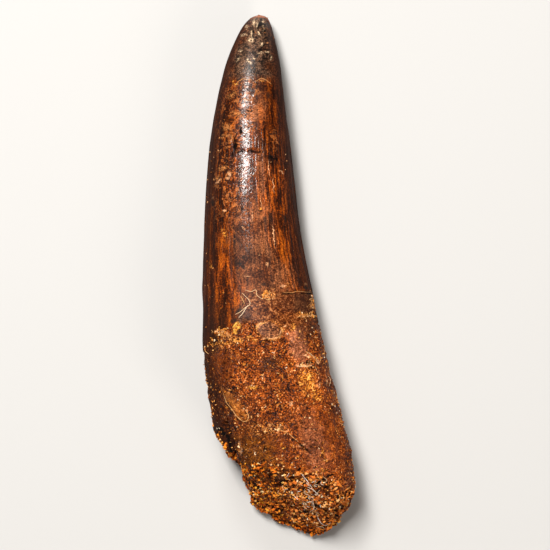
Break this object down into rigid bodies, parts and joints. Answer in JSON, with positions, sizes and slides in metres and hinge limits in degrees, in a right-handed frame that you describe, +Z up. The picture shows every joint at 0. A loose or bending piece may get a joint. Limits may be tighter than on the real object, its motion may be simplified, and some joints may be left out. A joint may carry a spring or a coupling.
{
  "type": "spinosaurus tooth",
  "caption": "Fossil tooth lying on its side: a long curved cone with a fluted enamel crown and a pitted root that ends in a rough sandy break.",
  "frame": {"origin": "on the resting plane, under the middle of the tooth's outline", "axes": "+Y along the tooth, towards the tip; +X across it, towards the inner side of its bend; +Z up"},
  "size_m": [0.035, 0.121, 0.025],
  "materials": {
    "fossil": "glossy enamel crown, dull pitted root, rough sandy break"
  },
  "bodies": {
    "root": {"tooth": "fossil"}
  },
  "joints": []
}
